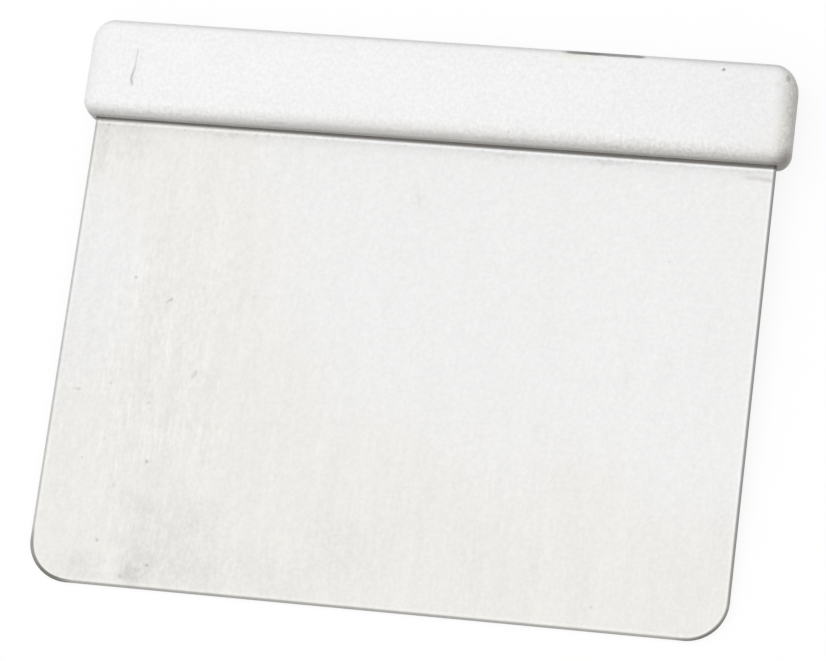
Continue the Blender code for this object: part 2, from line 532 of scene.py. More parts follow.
def grain_group():
    """Fine grain from -0.5 to 0.5, stretched along the sheet's height where Length is more than Width."""
    inputs = {"Place": (0, 0, 0), "Width": 0.2, "Length": 0.2, "Contrast": 0.25}
    tree, given, out = new_group("grain", inputs, "Grain")
    size = add(tree, "CombineXYZ", {0: given["Width"], 1: given["Length"], 2: given["Width"]}).outputs[0]
    place = vectors(tree, "DIVIDE", given["Place"], size)
    stretched = {"Vector": place, "Scale": 1.0, "Detail": 2.0, "Roughness": 0.5}
    noise = add(tree, "TexNoise", stretched).outputs[0]
    low = maths(tree, "SUBTRACT", 0.5, given["Contrast"])
    high = maths(tree, "ADD", 0.5, given["Contrast"])
    sockets = {"Value": noise, "From Min": low, "From Max": high, "To Min": -0.5, "To Max": 0.5}
    tree.links.new(add(tree, "MapRange", sockets).outputs["Result"], out)
    return tree


def specks_group():
    """Small scattered dots: one at most in each cell of the spacing, and none in most."""
    inputs = {"Place": (0, 0, 0), "Spacing": 8.0, "Radius": 0.3, "Share": 0.2}
    tree, given, out = new_group("specks", inputs, "Specks")
    scale = maths(tree, "DIVIDE", 1.0, given["Spacing"])
    cells = add(tree, "TexVoronoi", {"Vector": given["Place"], "Scale": scale, "Randomness": 1.0})
    distance = product(tree, cells.outputs["Distance"], given["Spacing"])
    chance = add(tree, "SeparateColor", {0: cells.outputs["Color"]}).outputs
    radius = product(tree, given["Radius"], maths(tree, "ADD", chance[1], 0.3))
    dot = fall(tree, maths(tree, "DIVIDE", distance, radius), 0.5, 1.3)
    chosen = maths(tree, "LESS_THAN", chance[0], given["Share"])
    tree.links.new(product(tree, dot, chosen), out)
    return tree


def mark_group():
    """One soft-edged mark at a chosen place, with its reach each way."""
    inputs = {"Place": (0, 0, 0), "Centre": (0, 0, 0), "Reach": (1, 1, 1), "Softness": 0.5}
    tree, given, out = new_group("mark", inputs, "Mark")
    away = vectors(tree, "SUBTRACT", given["Place"], given["Centre"])
    offset = vectors(tree, "DIVIDE", away, given["Reach"])
    core = maths(tree, "SUBTRACT", 1.0, given["Softness"])
    tree.links.new(fall(tree, vectors(tree, "LENGTH", offset), core, 1.0), out)
    return tree


def band_group():
    """1 between two limits and 0 outside them, with a blurred border."""
    inputs = {"Value": 0.0, "Start": 0.0, "End": 1.0, "Blur": 0.1}
    tree, given, out = new_group("band", inputs, "Band")
    steps = []
    for limit in ("Start", "End"):
        before = maths(tree, "SUBTRACT", given[limit], given["Blur"])
        after = maths(tree, "ADD", given[limit], given["Blur"])
        steps.append(rise(tree, given["Value"], before, after))
    tree.links.new(maths(tree, "SUBTRACT", *steps), out)
    return tree


PATCHES, GRAIN, SPECKS, MARK, BAND = (
    patches_group(), grain_group(), specks_group(), mark_group(), band_group()
)


def new_finish(name):
    """A material, its tree and shader, and the surface's place in the scraper's own millimetres,
    whole and in its three parts."""
    material = bpy.data.materials.new(name)
    material.use_nodes = True
    tree = material.node_tree
    laid = vectors(tree, "SUBTRACT", add(tree, "TexCoord", {}).outputs["Object"], ORIGIN)
    level = add(tree, "VectorRotate", {"Vector": laid, "Angle": -TILT}, rotation_type="X_AXIS").outputs[0]
    place = vectors(tree, "DIVIDE", level, (MM, MM, MM))
    parts = add(tree, "SeparateXYZ", {0: place}).outputs
    return material, tree, tree.nodes["Principled BSDF"], place, parts


def stirred(tree, place, size, across, up, deep=0.0):
    """The place moved about by noise of the given size, so that a mark laid there has a ragged border."""
    sockets = {"Vector": place, "Scale": 1 / size, "Detail": 2.0, "Roughness": 0.6}
    noise = add(tree, "TexNoise", sockets).outputs[1]
    offset = vectors(tree, "SUBTRACT", noise, (0.5, 0.5, 0.5))
    return vectors(tree, "MULTIPLY_ADD", offset, (across, up, deep), place)


def add_relief(tree, shader, height, distance, strength):
    sockets = {"Height": height, "Distance": distance * MM, "Strength": strength}
    tree.links.new(add(tree, "Bump", sockets).outputs[0], shader.inputs["Normal"])


# Steel finishes

STEEL_BRIGHT = (0.880, 0.876, 0.873, 1)
STEEL_WARM = (0.862, 0.853, 0.820, 1)
STEEL_DIRT = (0.30, 0.28, 0.24, 1)
STEEL_SEAM_SHADE_AND_DIRT = (0.13, 0.11, 0.095, 1)
# Painted shade along the sheet's outline
STEEL_RIM_SHADE = (0.20, 0.19, 0.175, 1)
# Painted shade on the sheet's sheared edge, lighter along the straight scraping edge
SHEARED_DARK = (0.05, 0.048, 0.045, 1)
SHEARED = (0.16, 0.155, 0.148, 1)
SCRAPING_EDGE_DARK = (0.24, 0.24, 0.23, 1)
SCRAPING_EDGE = (0.42, 0.42, 0.41, 1)

# Roughness in the hollows and on the crests of the grain
POLISH_ROUGHNESS = (0.42, 0.33)
SHEARED_ROUGHNESS = (0.5, 0.38)

FRONT = BLADE_THICKNESS / 2
MARK_DEPTH = 0.4
SCRAPING_LAND = (0.5, 1.5)

# Grain in the polish
SPECKLE = {"width": 0.72, "length": 0.85, "contrast": 0.22}
STREAKS = {"width": 0.78, "length": 2.1, "contrast": 0.2}
RUNS = {"width": 1.1, "length": 11.0, "contrast": 0.18}
BANDS = {"width": 4.0, "length": 45.0, "contrast": 0.22}
SCRATCHES = {"width": 0.6, "length": 9.0, "contrast": 0.2}
FINE_LINES = {"width": 0.16, "length": 5.0, "contrast": 0.3}
SHEARED_GRAIN = {"width": 0.25, "length": 0.25, "contrast": 0.3}

# Where the polish is worn. The low part's border slopes, and so is measured at v plus a share of x.
WORN_LEFT = (-50.0, -8.0)
WORN_LOW = (20.0, 62.0)
WORN_SLOPE = 0.25
WORN_CLOUDS = {"size": 20.0, "softness": 0.25}
UNWORN_SIDE = {"centre": (-67.0, 52.0, 0.0), "reach": (15.0, 42.0, 2.0), "softness": 0.6}
NICKED = {"centre": (-50.0, 44.0, FRONT), "reach": (21.0, 52.0, 2.0), "softness": 0.7}
FLURRIES = {"size": 9.0, "softness": 0.12}

# Lines along the rim, by how far inside the outline they are, and where they are darker: painted shade on
# the outline itself, and a painted highlight a little inside it
RIM_HIGHLIGHT = {"start": 0.65, "end": 1.05, "blur": 0.15}
DARK_RIM = (0.22, 0.57)
RIM_RIGHT = (60.0, 71.0)
RIM_LEFT = (-71.0, -60.0)
RIM_BOTTOM = (1.0, 6.0)
RIM_CORNER = {"centre": (-70, 3, FRONT), "reach": (9, 9, 2), "softness": 0.5}

# Lines across the sheet under the handle: a painted highlight on a smoother line, a line of dough crumbs,
# painted shade under the handle, and the seam's painted shade and dirt. The seam slopes a little.
HIGHLIGHT_AND_SMOOTH_LINE = {"start": BLADE_REACH - 1.4, "end": BLADE_REACH - 0.7, "blur": 0.15}
DOUGH_LINE = {"start": BLADE_REACH - 2.0, "end": BLADE_REACH - 1.3, "blur": 0.2}
UNDER_HANDLE_SHADE = (BLADE_REACH - 4.0, BLADE_REACH - 1.4)
SEAM = (BLADE_REACH - 0.89, BLADE_REACH - 0.39)
SEAM_SLOPE = 0.0022

# Scattered dots on the sheet
STRAY_DIRT = {"spacing": 6.0, "radius": 0.3, "share": 0.2}
PITS = {"spacing": 2.2, "radius": 0.32, "share": 0.4}
CRUMBS = {"spacing": 1.4, "radius": 0.45, "share": 0.6}

# Specks of old dough and dirt on the sheet: x, v, reach across, reach up, strength
SHEET_SPECKS = (
    (-50.2, 26.6, 0.60, 0.65, 0.42),
    (-42.8, 46.2, 0.65, 1.05, 0.26),
    (-43.2, 45.4, 0.60, 0.70, 0.22),
    (-67.1, 40.8, 1.15, 0.60, 0.26),
    (-64.0, 26.3, 0.50, 0.55, 0.22),
    (-58.2, 9.3, 0.60, 0.60, 0.36),
    (-47.0, 4.9, 0.65, 0.60, 0.36),
    (-59.8, 30.7, 0.50, 0.50, 0.22),
    (-51.6, 39.1, 0.50, 0.50, 0.20),
    (-58.4, 65.8, 0.50, 0.50, 0.38),
    (-50.15, 61.65, 0.60, 0.55, 0.30),
    (-50.55, 61.30, 0.60, 0.50, 0.30),
    (-50.95, 60.90, 0.60, 0.45, 0.26),
    (-52.2, 2.1, 0.70, 0.70, 0.28),
    (-60.4, 42.6, 0.60, 0.55, 0.16),
    (-43.5, 64.6, 0.55, 0.50, 0.16),
    (-32.6, 63.5, 0.90, 0.80, 0.10),
    (-56.4, 21.0, 0.45, 0.80, 0.14),
    (44.8, 4.9, 0.50, 0.50, 0.22),
    (52.5, 78.0, 0.40, 0.40, 0.16),
    (67.6, 97.3, 3.0, 0.80, 0.20),
    (70.4, 97.05, 2.2, 0.85, 0.24),
    (71.6, 96.95, 0.8, 0.75, 0.14),
    (66.4, 98.4, 1.8, 0.70, 0.10),
)

# Places where the polish is duller or brighter: x, v, reach across, reach up, change of tone
SHEET_PATCHES = (
    (-45.0, 10.0, 17.0, 15.0, -0.045),
    (-49.0, 4.6, 5.6, 5.4, -0.060),
    (-50.4, 2.4, 4.6, 2.8, -0.090),
    (-46.5, 6.5, 3.6, 3.0, -0.030),
    (-51.6, 17.5, 6.5, 4.0, -0.025),
    (-70.2, 95.0, 3.0, 13.0, -0.085),
    (-64.0, 96.0, 9.0, 6.0, -0.040),
    (-70.8, 45.0, 3.5, 20.0, -0.022),
    (-1.1, 87.7, 2.2, 3.6, -0.045),
    (46.3, 53.3, 3.0, 3.0, -0.020),
    (55.2, 56.2, 2.4, 3.0, -0.020),
    (15.2, 28.4, 3.4, 2.6, -0.018),
    (-61.0, 3.4, 8.0, 6.0, -0.055),
    (-37.5, 3.6, 9.0, 7.0, -0.045),
    (-36.0, 15.0, 8.0, 9.0, -0.030),
    (-27.0, 6.0, 11.0, 9.0, -0.030),
    (-16.0, 3.0, 9.0, 7.0, -0.025),
    (-7.0, 12.0, 12.0, 12.0, -0.034),
    (68.9, 20.0, 4.5, 15.0, -0.024),
    (32.7, 12.0, 3.0, 14.0, -0.020),
    (20.5, 10.0, 5.0, 14.0, -0.014),
    (38.0, 98.4, 6.0, 0.7, -0.090),
    (17.0, 98.3, 5.0, 0.7, -0.070),
    (-43.0, 98.3, 5.0, 0.8, -0.060),
    (-55.4, 4.6, 1.3, 4.4, 0.050),
    (44.8, 93.1, 0.5, 1.8, 0.060),
    (-66.0, 92.0, 1.2, 1.8, -0.030),
)


def rim_distance(tree, x, v):
    """How far inside the sheet's outline a place is, round its lower corners too."""
    across = maths(tree, "SUBTRACT", maths(tree, "ABSOLUTE", x), BLADE_WIDTH / 2 - SCRAPING_RADIUS)
    down = maths(tree, "SUBTRACT", SCRAPING_RADIUS, v)
    corner = add(tree, "CombineXYZ", {
        0: maths(tree, "MAXIMUM", across, 0.0),
        1: maths(tree, "MAXIMUM", down, 0.0),
    }).outputs[0]
    deepest = maths(tree, "MINIMUM", maths(tree, "MAXIMUM", across, down), 0.0)
    reach = maths(tree, "ADD", vectors(tree, "LENGTH", corner), deepest)
    return maths(tree, "SUBTRACT", SCRAPING_RADIUS, reach)


def polish_colour(tree, place, left, low):
    """Bright steel, and warmer where it is worn."""
    clouds = use(tree, PATCHES, place=place, **WORN_CLOUDS)
    unworn = use(tree, MARK, place=place, **UNWORN_SIDE)
    worn = total(tree, -0.25, (left, 0.75), (low, 0.88), (clouds, 0.5), (unworn, -1.0))
    return blend(tree, rise(tree, worn, 0.05, 1.0), STEEL_BRIGHT, STEEL_WARM)


def dulled_patches(tree, place):
    """How much the listed patches change the polish, with ragged borders."""
    ragged = stirred(tree, place, size=2.0, across=2.4, up=2.4)
    dulled = 0.0
    for x, v, across, up, change in SHEET_PATCHES:
        centre, reach = (x, v, FRONT), (across, up, MARK_DEPTH)
        patch = use(tree, MARK, place=ragged, centre=centre, reach=reach, softness=0.9)
        dulled = total(tree, dulled, (patch, change))
    return dulled


def polish_tone(tree, place, left, low, nicks, speckle, streaks, streaked):
    """How bright the polish is: specks and streaks all over, and runs and scratches where it is worked."""
    runs = use(tree, GRAIN, place=place, **RUNS)
    bands = use(tree, GRAIN, place=place, **BANDS)
    worked = maths(tree, "MAXIMUM", low, left)
    run_down = product(tree, runs, total(tree, 0.0, (worked, 0.5), (nicks, 0.4)))
    scratches = use(tree, GRAIN, place=place, **SCRATCHES)
    scraped = maths(tree, "MAXIMUM", nicks, product(tree, low, 0.35))
    scratched = product(tree, rise(tree, scratches, 0.1, 0.5), scraped)
    banded = product(tree, bands, total(tree, 0.4, (worked, 0.6)))
    tone = total(tree, 1.0, (speckle, 0.057), (streaked, 0.08), (run_down, 0.024))
    tone = total(tree, tone, (banded, 0.038), (low, -0.008), (scratched, 0.05), (nicks, -0.005))
    gritty = total(tree, 1.0, (speckle, -0.5), (streaks, -0.4))
    return total(tree, tone, (product(tree, dulled_patches(tree, place), gritty), 1.0))


def painted_rim_shade(tree, place, x, v, inside):
    """Painted shade: the dark line along the outline, wider and darker at the lower left corner and the
    right side.
    """
    right = rise(tree, x, *RIM_RIGHT)
    left = fall(tree, x, *RIM_LEFT)
    bottom = fall(tree, v, *RIM_BOTTOM)
    corner = use(tree, MARK, place=place, **RIM_CORNER)
    strength = total(tree, 0.44, (right, 0.36), (bottom, 0.2), (corner, 0.35))
    beyond = total(tree, inside, (corner, -0.25), (left, -0.08), (right, -0.07))
    return product(tree, fall(tree, beyond, *DARK_RIM), strength)


def lay_sheet_dirt_and_seam_shade(tree, colour, place, x, v, left, flurry):
    """Lays the listed specks, stray dots, pits, the crumbs under the handle, and the seam's painted shade
    and dirt over the polish.
    """
    uneven = stirred(tree, place, size=0.6, across=0.4, up=0.4)
    for mark_x, mark_v, across, up, strength in SHEET_SPECKS:
        centre, reach = (mark_x, mark_v, FRONT), (across, up, MARK_DEPTH)
        speck = use(tree, MARK, place=uneven, centre=centre, reach=reach, softness=0.8)
        colour = lay_over(tree, colour, speck, strength, STEEL_DIRT)
    stray = use(tree, SPECKS, place=place, **STRAY_DIRT)
    colour = lay_over(tree, colour, stray, 0.07, STEEL_DIRT)
    pits = use(tree, SPECKS, place=place, **PITS)
    colour = lay_over(tree, colour, product(tree, pits, flurry), 0.12, STEEL_DIRT)
    crumbs = use(tree, SPECKS, place=place, **CRUMBS)
    crumb_line = product(tree, crumbs, use(tree, BAND, value=v, **DOUGH_LINE))
    colour = lay_over(tree, colour, crumb_line, total(tree, 0.14, (left, 0.12)), STEEL_DIRT)
    # Painted shade and dirt along the seam under the handle's mouth.
    seam = rise(tree, total(tree, v, (x, SEAM_SLOPE)), *SEAM)
    return lay_over(tree, colour, seam, 0.7, STEEL_SEAM_SHADE_AND_DIRT)


def sheet_finish():
    """Satin steel with an upright grain, warmer and duller to the left and low down, where it is used."""
    material, tree, shader, place, (x, v, _) = new_finish("satin_steel")
    left = fall(tree, x, *WORN_LEFT)
    low = fall(tree, total(tree, v, (x, WORN_SLOPE)), *WORN_LOW)
    nicks = use(tree, MARK, place=place, **NICKED)
    flurry = product(tree, nicks, use(tree, PATCHES, place=place, **FLURRIES))
    speckle = use(tree, GRAIN, place=place, **SPECKLE)
    streaks = use(tree, GRAIN, place=place, **STREAKS)
    streaked = product(tree, streaks, total(tree, 0.3, (left, 0.2), (flurry, 0.65)))
    inside = rim_distance(tree, x, v)
    # Painted highlight: a lighter band a little inside the sheet's outline.
    rim_highlight = use(tree, BAND, value=inside, **RIM_HIGHLIGHT)
    # Painted highlight in a thin line under the seam, which is also smoother.
    highlight_and_smooth = use(tree, BAND, value=v, **HIGHLIGHT_AND_SMOOTH_LINE)
    # Painted shade just under the handle.
    under_handle_shade = rise(tree, v, *UNDER_HANDLE_SHADE)

    tone = polish_tone(tree, place, left, low, nicks, speckle, streaks, streaked)
    # Painted highlights along the rim and under the seam, and painted shade just under the handle.
    tone = total(tree, tone, (rim_highlight, 0.05), (highlight_and_smooth, 0.05), (under_handle_shade, -0.03))
    colour = vectors(tree, "MULTIPLY", polish_colour(tree, place, left, low), tone)
    # Painted shade along the sheet's outline.
    colour = blend(tree, painted_rim_shade(tree, place, x, v, inside), colour, STEEL_RIM_SHADE)
    colour = lay_sheet_dirt_and_seam_shade(tree, colour, place, x, v, left, flurry)
    tree.links.new(colour, shader.inputs["Base Color"])

    fine = use(tree, GRAIN, place=place, **FINE_LINES)
    lines = total(tree, 0.0, (fine, 0.6), (streaked, 0.25), (speckle, 0.15))
    roughness = total(tree, rise(tree, lines, -0.3, 0.3, *POLISH_ROUGHNESS), (highlight_and_smooth, -0.24))
    tree.links.new(roughness, shader.inputs["Roughness"])
    add_relief(tree, shader, lines, distance=0.003, strength=0.6)
    tangent = add(tree, "Tangent", {}, direction_type="UV_MAP", uv_map="grain").outputs[0]
    tree.links.new(tangent, shader.inputs["Tangent"])
    shader.inputs["Metallic"].default_value = 1.0
    shader.inputs["Anisotropic"].default_value = 0.5
    return material


def cut_edge_finish():
    """The sheet's sheared edge: rough, and darkened with painted shade, which is lighter along the straight
    scraping edge.
    """
    material, tree, shader, place, (x, v, _) = new_finish("cut_edge_steel")
    sheared = use(tree, GRAIN, place=place, **SHEARED_GRAIN)
    share = maths(tree, "ADD", sheared, 0.5)
    straight = BLADE_WIDTH / 2 - SCRAPING_RADIUS
    along = use(tree, BAND, value=x, start=1 - straight, end=straight - 1, blur=1.5)
    scraping_stretch = product(tree, along, fall(tree, v, *SCRAPING_LAND))
    sides = blend(tree, share, SHEARED_DARK, SHEARED)
    scraping_land = blend(tree, share, SCRAPING_EDGE_DARK, SCRAPING_EDGE)
    tree.links.new(blend(tree, scraping_stretch, sides, scraping_land), shader.inputs["Base Color"])
    tree.links.new(rise(tree, sheared, -0.4, 0.4, *SHEARED_ROUGHNESS), shader.inputs["Roughness"])
    add_relief(tree, shader, sheared, distance=0.01, strength=0.6)
    shader.inputs["Metallic"].default_value = 1.0
    return material


# Plastic finish

PLASTIC_WHITE = (0.875, 0.875, 0.873)
# The next three tints are a warm painted shade, the right end's warm painted shade and a painted light
PLASTIC_WARM_SHADE = (0.83, 0.81, 0.77, 1)
PLASTIC_END_SHADE_TINT = (0.865, 0.848, 0.79, 1)
PLASTIC_PAINTED_LIGHT = (0.95, 0.935, 0.89, 1)
PLASTIC_YELLOWED = (0.84, 0.82, 0.72, 1)
PLASTIC_DIRT_AND_SHADE = (0.28, 0.27, 0.26, 1)
PLASTIC_GRIME_AND_SHADE = (0.16, 0.13, 0.10, 1)
PLASTIC_SCUFF = (0.05, 0.045, 0.035, 1)
PLASTIC_ROUGHNESS = (0.50, 0.42)
PLASTIC_IOR = 1.49

HANDLE_END = HANDLE_LENGTH / 2

# Grain in the plastic
PLASTIC_TEXTURE = {"width": 0.7, "length": 0.88, "contrast": 0.22}
WIPES = {"width": 0.6, "length": 4.0, "contrast": 0.18}
END_STROKES = {"width": 0.45, "length": 1.5, "contrast": 0.2}
SCRAPES = {"width": 0.28, "length": 3.0, "contrast": 0.2}
PLASTIC_CLOUDS = {"size": 9.0, "softness": 0.3}

# Stretches along the handle and up its height, over which an effect comes or goes
MOUTH_SHADE = (HANDLE_LOW + 0.4, HANDLE_LOW + 3.4)
MOUTH_SHADE_AND_GRIME = (HANDLE_LOW + 0.2, HANDLE_LOW + 1.4)
TOP_EDGE = (HANDLE_HIGH - 1.6, HANDLE_HIGH - 0.9)
TOP_ROUNDING_LIGHT = {"start": HANDLE_HIGH - 2.5, "end": HANDLE_HIGH - 1.3, "blur": 0.4}
PANEL_BLUR = 0.4
LEFT_HALF = (-70.0, -10.0)
RIGHT_HALF = (0.0, 50.0)
TOP_SHADE_START = (-70.0, -35.0)
TOP_RIGHT = (44.0, 56.0)
DARKER_RIGHT_END = (48.0, 66.0)
ROUGH_END = (71.0, 73.6)
GRIMY_SHADED_END = (72.2, 74.8)
LEFT_TURN_SHADE = {"start": -73.3, "end": -71.2, "blur": 1.0}
LEFT_RIM_LIGHT = (-74.7, -73.8)

# Heights over the parting line, on the front and the back alike
ROUNDED = {"start": 3.1, "end": 4.4, "blur": 0.5}
IN_MOUTH = (1.0, 3.8)
AT_SEAM = (0.5, 1.6)

# Heights over the parting line, on the front alone
FRONT_FACE = (4.0, 5.0)

# Marks on the handle: painted light on the right end's middle, warm painted shade and grime with painted
# shade at its foot, and a rubbed patch
HANDLE_FOOT = (HANDLE_END, HANDLE_LOW, 2.0)
LIT_END_MIDDLE = {"centre": (HANDLE_END - 1.6, HANDLE_LOW + 7.0, 4.0), "reach": (3.8, 6.5, 5.0), "softness": 1.0}
WARM_SHADE_FOOT = {"centre": HANDLE_FOOT, "reach": (14.0, 10.0, 9.0), "softness": 1.0}
GRIMY_SHADED_FOOT = {"centre": HANDLE_FOOT, "reach": (5.0, 4.2, 6.0), "softness": 0.8}
RUBBED_PATCH = {"centre": (28.5, HANDLE_HIGH - 2.2, 5.5), "reach": (7.0, 1.6, 1.5), "softness": 0.9}

# Dirt and painted shade in the crease, and how far up it is wide and deep
CREASE_SHADE_AND_DIRT = {"start": CREASE_LOW + 0.2, "end": CREASE_HIGH - 0.5, "blur": 0.5}
CREASE_SHADE_AND_DIRT_WIDE = (107.0, 113.0)
CREASE_SHADE_AND_DIRT_DEEP = (106.5, 112.0)

# The scuff on the top edge
SCUFF_ALONG = {"start": 26.6, "end": 42.8, "blur": 2.0}
SCUFF_HARDEST = {"start": 29.5, "end": 34.0, "blur": 2.5}
SCUFF_OVER_EDGE = (HANDLE_HIGH - 1.6, HANDLE_HIGH - 1.2)
SCUFF_IN_FRONT = (2.4, 4.5)

# Specks on the handle: x, v, reach across, reach up, strength
HANDLE_SPECKS = (
    (59.8, 118.5, 0.55, 0.55, 0.80),
    (73.1, 117.8, 0.65, 1.05, 0.50),
    (71.2, 116.2, 1.00, 0.90, 0.12),
    (16.9, 101.9, 0.40, 0.40, 0.35),
    (-63.0, 112.5, 0.40, 0.40, 0.10),
    (-62.1, 107.2, 0.50, 0.60, 0.10),
)
SPECK_DEPTH = 3.0


def plastic_tone(tree, x, v, texture, sandy, clouds, mouth_shade):
    """How bright the plastic is: its texture all over, a faintly lighter panel, and painted light and
    shade: lighter on the mouth's left stretch, the top rounding and the left end's rim, darker towards the
    right end and where the left end turns.
    """
    panel = product(
        tree,
        use(tree, BAND, value=x, start=PANEL_LEFT, end=PANEL_RIGHT, blur=PANEL_BLUR),
        use(tree, BAND, value=v, start=PANEL_LOW, end=PANEL_HIGH, blur=PANEL_BLUR),
    )
    # Painted light: the mouth's rounding lighter along its left stretch.
    lit_mouth_left = product(tree, mouth_shade, fall(tree, x, *LEFT_HALF))
    # Painted light along the top rounding, fading to a tenth towards the right.
    top_rounding_light = use(tree, BAND, value=v, **TOP_ROUNDING_LIGHT)
    top_rounding_light = product(tree, top_rounding_light, rise(tree, x, *TOP_RIGHT, 1.0, 0.1))
    # Painted shade: darker towards the right end.
    darker_right_end = rise(tree, x, *DARKER_RIGHT_END)
    # Painted shade where the left end turns, and painted light on its rim.
    left_turn_shade = use(tree, BAND, value=x, **LEFT_TURN_SHADE)
    left_rim_light = fall(tree, x, *LEFT_RIM_LIGHT)
    tone = total(tree, 1.0, (texture, 0.1), (sandy, 0.14), (lit_mouth_left, 0.045), (clouds, 0.02), (panel, 0.008))
    tone = total(tree, tone, (top_rounding_light, 0.05), (darker_right_end, -0.02))
    return total(tree, tone, (left_turn_shade, -0.045), (left_rim_light, 0.04))


def lay_end_shade_and_grime(tree, colour, place, turned, x, sandy, grimy_shaded):
    """Lays the right end over the plastic: a warm painted shade, a middle lit with painted light, grime
    with painted shade towards the end and at its foot, and its rough strokes.
    """
    rough = rise(tree, x, *ROUGH_END)
    stroked = product(tree, use(tree, GRAIN, place=turned, **END_STROKES), rough)
    wipes = use(tree, GRAIN, place=place, **WIPES)
    # Painted shade: a warm tint over the right end.
    colour = lay_over(tree, colour, rough, 0.6, PLASTIC_END_SHADE_TINT)
    # Painted light: the right end's middle lighter.
    colour = lay_over(tree, colour, use(tree, MARK, place=place, **LIT_END_MIDDLE), 0.9, PLASTIC_PAINTED_LIGHT)
    # Grime streaks and painted shade towards the right end.
    colour = lay_over(tree, colour, grimy_shaded, total(tree, 0.09, (wipes, 0.2)), PLASTIC_GRIME_AND_SHADE)
    # Painted shade at the handle's right foot: a warm tint, then grime with darker shade.
    colour = lay_over(tree, colour, use(tree, MARK, place=place, **WARM_SHADE_FOOT), 0.5, PLASTIC_WARM_SHADE)
    colour = lay_over(tree, colour, use(tree, MARK, place=place, **GRIMY_SHADED_FOOT), 0.6, PLASTIC_GRIME_AND_SHADE)
    sandy_right = product(tree, sandy, rise(tree, x, *RIGHT_HALF))
    roughened = total(tree, 1.0, (stroked, 0.22), (sandy_right, 0.14))
    return vectors(tree, "MULTIPLY", colour, roughened)


def crease_shade_and_dirt(tree, x, v, w):
    """Dirt and painted shade in the crease, along the same bent line as its nick."""
    bend = maths(tree, "DIVIDE", maths(tree, "SUBTRACT", v, CREASE_BEND_V), CREASE_BEND_REACH)
    drop = maths(tree, "POWER", math.e, product(tree, bend, bend, -1.0))
    centre = total(tree, CREASE_X, (drop, CREASE_BEND))
    across = maths(tree, "ABSOLUTE", maths(tree, "SUBTRACT", x, centre))
    width = total(tree, 0.3, (fall(tree, v, *CREASE_SHADE_AND_DIRT_WIDE), 0.25))
    line = fall(tree, maths(tree, "DIVIDE", across, width), 0.0, 1.0)
    length = use(tree, BAND, value=v, **CREASE_SHADE_AND_DIRT)
    depth = total(tree, 0.45, (fall(tree, v, *CREASE_SHADE_AND_DIRT_DEEP), 0.4))
    return product(tree, line, length, depth, rise(tree, w, *FRONT_FACE))


def scuff_mask(tree, place, turned):
    """A ragged dark scrape over the top edge, broken up towards its ends and its back."""
    torn = stirred(tree, place, size=2.2, across=2.0, up=0.4, deep=1.6)
    x, v, w = add(tree, "SeparateXYZ", {0: torn}).outputs
    along = use(tree, BAND, value=x, **SCUFF_ALONG)
    reached = product(tree, along, rise(tree, w, *SCUFF_IN_FRONT))
    scrapes = use(tree, GRAIN, place=turned, **SCRAPES)
    broken = rise(tree, total(tree, 0.0, (scrapes, 1.2), (reached, 1.7)), 0.8, 1.15)
    return product(tree, rise(tree, v, *SCUFF_OVER_EDGE), broken)


def lay_handle_marks(tree, colour, place, turned, x, v, w):
    """Lays the specks, the crease's dirt and painted shade, and the marks of the top edge over the plastic:
    its painted shade, a rubbed patch and the scuff.
    """
    uneven = stirred(tree, place, size=0.6, across=0.5, up=0.5)
    for mark_x, mark_v, across, up, strength in HANDLE_SPECKS:
        centre, reach = (mark_x, mark_v, HANDLE_THICKNESS / 2 - 1), (across, up, SPECK_DEPTH)
        speck = use(tree, MARK, place=uneven, centre=centre, reach=reach, softness=0.6)
        colour = lay_over(tree, colour, speck, strength, PLASTIC_DIRT_AND_SHADE)
    # Dirt and painted shade in the crease.
    colour = lay_over(tree, colour, crease_shade_and_dirt(tree, x, v, w), 0.6, PLASTIC_DIRT_AND_SHADE)
    # Painted shade along the top edge, stronger to the right.
    top_edge_shade = product(tree, rise(tree, v, *TOP_EDGE), rise(tree, x, *TOP_SHADE_START))
    top_shade_strength = total(tree, 0.08, (rise(tree, x, *TOP_RIGHT), 0.12))
    colour = lay_over(tree, colour, top_edge_shade, top_shade_strength, PLASTIC_DIRT_AND_SHADE)
    colour = lay_over(tree, colour, use(tree, MARK, place=place, **RUBBED_PATCH), 0.4, PLASTIC_YELLOWED)
    hardest = use(tree, BAND, value=x, **SCUFF_HARDEST)
    scuff_strength = total(tree, 0.66, (hardest, 0.2))
    return lay_over(tree, colour, scuff_mask(tree, place, turned), scuff_strength, PLASTIC_SCUFF)


def lay_mouth_shade_and_grime(tree, colour, v, off_middle, clouds):
    """Lays painted shade and grime over the mouth, deepest beside the blade and lighter right at the seam.
    """
    # Painted shade and grime on the mouth's wall beside the blade.
    mouth = fall(tree, v, *MOUTH_SHADE_AND_GRIME)
    deep = product(tree, fall(tree, off_middle, *IN_MOUTH), rise(tree, off_middle, *AT_SEAM, 0.7, 1.0))
    strength = total(tree, 0.44, (clouds, 0.12))
    return lay_over(tree, colour, product(tree, mouth, deep), strength, PLASTIC_GRIME_AND_SHADE)


